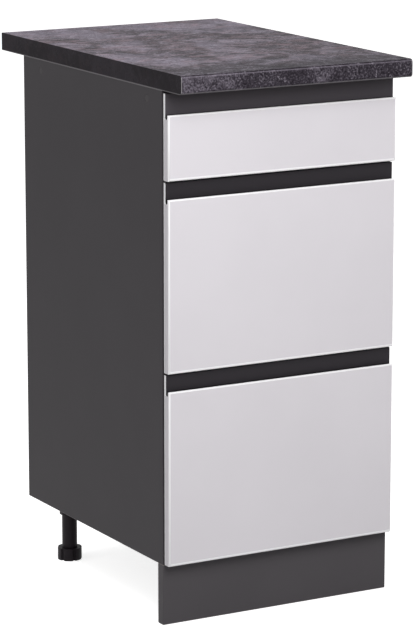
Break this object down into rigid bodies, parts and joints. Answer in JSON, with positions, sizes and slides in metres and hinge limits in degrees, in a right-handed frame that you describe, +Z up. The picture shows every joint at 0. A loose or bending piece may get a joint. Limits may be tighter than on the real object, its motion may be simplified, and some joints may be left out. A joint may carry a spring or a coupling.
{
  "type": "base cabinet with drawers",
  "caption": "Handleless kitchen base cabinet: pull-out drawers on telescopic ball runners under a postformed worktop, on a plinth and levelling feet.",
  "frame": {"origin": "on the floor, under the middle of the worktop", "axes": "+X to the right along the fronts, +Y from the fronts to the wall, +Z up"},
  "size_m": [0.4, 0.6, 0.85],
  "materials": {
    "carcass_board": "anthracite melamine on chipboard, fine matt grain",
    "rail_board": "anthracite melamine on chipboard, fine matt grain",
    "back_board": "white-coated hardboard, satin",
    "front_lacquer": "light grey satin lacquer on fibreboard, graphite in the pull",
    "worktop_laminate": "dark mottled stone decor laminate on chipboard, fine texture",
    "worktop_edge": "black edge band, matt",
    "drawer_board": "light grey melamine on chipboard, satin",
    "drawer_bottom_board": "light grey coated hardboard, satin",
    "zinc_steel": "bright zinc-plated rolled steel",
    "screw_steel": "zinc-plated",
    "cam_zinc": "die-cast zinc, dull",
    "black_plastic": "moulded black plastic, satin",
    "cage_plastic": "moulded dark plastic",
    "cap_plastic": "anthracite plastic, smooth",
    "pad_rubber": "clear soft bumper"
  },
  "bodies": {
    "carcass": {"side_left": "carcass_board", "side_right": "carcass_board", "bottom_panel": "carcass_board", "plinth": "carcass_board", "front_rail": "rail_board", "rear_rail": "rail_board", "back_panel": "back_board", "worktop": "worktop_laminate", "worktop_edge_left": "worktop_edge", "worktop_edge_right": "worktop_edge", "rail_screws": "screw_steel", "runner_screws": "screw_steel", "cover_caps": "cap_plastic", "cams": "cam_zinc", "cam_bolts": "screw_steel", "worktop_brackets": "zinc_steel", "plinth_clips": "black_plastic", "foot_sockets": "black_plastic", "foot_tubes": "black_plastic", "bumper_pads": "pad_rubber", "top_runner_cabinet_members": "zinc_steel", "middle_runner_cabinet_members": "zinc_steel", "bottom_runner_cabinet_members": "zinc_steel"},
    "top_drawer": {"top_front": "front_lacquer", "top_front_screws": "screw_steel", "top_box_left": "drawer_board", "top_box_right": "drawer_board", "top_box_front": "drawer_board", "top_box_back": "drawer_board", "top_box_bottom": "drawer_bottom_board", "top_runner_drawer_members": "zinc_steel"},
    "top_runner_middle": {"top_runner_middle_members": "zinc_steel"},
    "top_outer_cage": {"top_outer_ball_cages": "cage_plastic"},
    "top_inner_cage": {"top_inner_ball_cages": "cage_plastic"},
    "middle_drawer": {"middle_front": "front_lacquer", "middle_front_screws": "screw_steel", "middle_box_left": "drawer_board", "middle_box_right": "drawer_board", "middle_box_front": "drawer_board", "middle_box_back": "drawer_board", "middle_box_bottom": "drawer_bottom_board", "middle_runner_drawer_members": "zinc_steel"},
    "middle_runner_middle": {"middle_runner_middle_members": "zinc_steel"},
    "middle_outer_cage": {"middle_outer_ball_cages": "cage_plastic"},
    "middle_inner_cage": {"middle_inner_ball_cages": "cage_plastic"},
    "bottom_drawer": {"bottom_front": "front_lacquer", "bottom_front_screws": "screw_steel", "bottom_box_left": "drawer_board", "bottom_box_right": "drawer_board", "bottom_box_front": "drawer_board", "bottom_box_back": "drawer_board", "bottom_box_bottom": "drawer_bottom_board", "bottom_runner_drawer_members": "zinc_steel"},
    "bottom_runner_middle": {"bottom_runner_middle_members": "zinc_steel"},
    "bottom_outer_cage": {"bottom_outer_ball_cages": "cage_plastic"},
    "bottom_inner_cage": {"bottom_inner_ball_cages": "cage_plastic"},
    "front_left_foot_base": {"front_left_foot": "black_plastic"},
    "front_right_foot_base": {"front_right_foot": "black_plastic"},
    "rear_left_foot_base": {"rear_left_foot": "black_plastic"},
    "rear_right_foot_base": {"rear_right_foot": "black_plastic"}
  },
  "joints": [
    {"name": "top_drawer_slide", "type": "slide", "parent": "carcass", "child": "top_drawer", "axis": [0, -1, 0], "range_m": [0, 0.395]},
    {"name": "top_runner_middle_slide", "type": "slide", "parent": "carcass", "child": "top_runner_middle", "axis": [0, -1, 0], "range_m": [0, 0.1975]},
    {"name": "top_outer_cage_roll", "type": "slide", "parent": "carcass", "child": "top_outer_cage", "axis": [0, -1, 0], "range_m": [0, 0.09875]},
    {"name": "top_inner_cage_roll", "type": "slide", "parent": "carcass", "child": "top_inner_cage", "axis": [0, -1, 0], "range_m": [0, 0.29625]},
    {"name": "middle_drawer_slide", "type": "slide", "parent": "carcass", "child": "middle_drawer", "axis": [0, -1, 0], "range_m": [0, 0.395]},
    {"name": "middle_runner_middle_slide", "type": "slide", "parent": "carcass", "child": "middle_runner_middle", "axis": [0, -1, 0], "range_m": [0, 0.1975]},
    {"name": "middle_outer_cage_roll", "type": "slide", "parent": "carcass", "child": "middle_outer_cage", "axis": [0, -1, 0], "range_m": [0, 0.09875]},
    {"name": "middle_inner_cage_roll", "type": "slide", "parent": "carcass", "child": "middle_inner_cage", "axis": [0, -1, 0], "range_m": [0, 0.29625]},
    {"name": "bottom_drawer_slide", "type": "slide", "parent": "carcass", "child": "bottom_drawer", "axis": [0, -1, 0], "range_m": [0, 0.395]},
    {"name": "bottom_runner_middle_slide", "type": "slide", "parent": "carcass", "child": "bottom_runner_middle", "axis": [0, -1, 0], "range_m": [0, 0.1975]},
    {"name": "bottom_outer_cage_roll", "type": "slide", "parent": "carcass", "child": "bottom_outer_cage", "axis": [0, -1, 0], "range_m": [0, 0.09875]},
    {"name": "bottom_inner_cage_roll", "type": "slide", "parent": "carcass", "child": "bottom_inner_cage", "axis": [0, -1, 0], "range_m": [0, 0.29625]},
    {"name": "front_left_foot_height", "type": "slide", "parent": "carcass", "child": "front_left_foot_base", "axis": [0, 0, -1], "range_m": [0, 0.025]},
    {"name": "front_right_foot_height", "type": "slide", "parent": "carcass", "child": "front_right_foot_base", "axis": [0, 0, -1], "range_m": [0, 0.025]},
    {"name": "rear_left_foot_height", "type": "slide", "parent": "carcass", "child": "rear_left_foot_base", "axis": [0, 0, -1], "range_m": [0, 0.025]},
    {"name": "rear_right_foot_height", "type": "slide", "parent": "carcass", "child": "rear_right_foot_base", "axis": [0, 0, -1], "range_m": [0, 0.025]}
  ],
  "couplings": [
    {"joint": "top_runner_middle_slide", "follows": "top_drawer_slide", "ratio": 0.5},
    {"joint": "top_outer_cage_roll", "follows": "top_drawer_slide", "ratio": 0.25},
    {"joint": "top_inner_cage_roll", "follows": "top_drawer_slide", "ratio": 0.75},
    {"joint": "middle_runner_middle_slide", "follows": "middle_drawer_slide", "ratio": 0.5},
    {"joint": "middle_outer_cage_roll", "follows": "middle_drawer_slide", "ratio": 0.25},
    {"joint": "middle_inner_cage_roll", "follows": "middle_drawer_slide", "ratio": 0.75},
    {"joint": "bottom_runner_middle_slide", "follows": "bottom_drawer_slide", "ratio": 0.5},
    {"joint": "bottom_outer_cage_roll", "follows": "bottom_drawer_slide", "ratio": 0.25},
    {"joint": "bottom_inner_cage_roll", "follows": "bottom_drawer_slide", "ratio": 0.75}
  ]
}
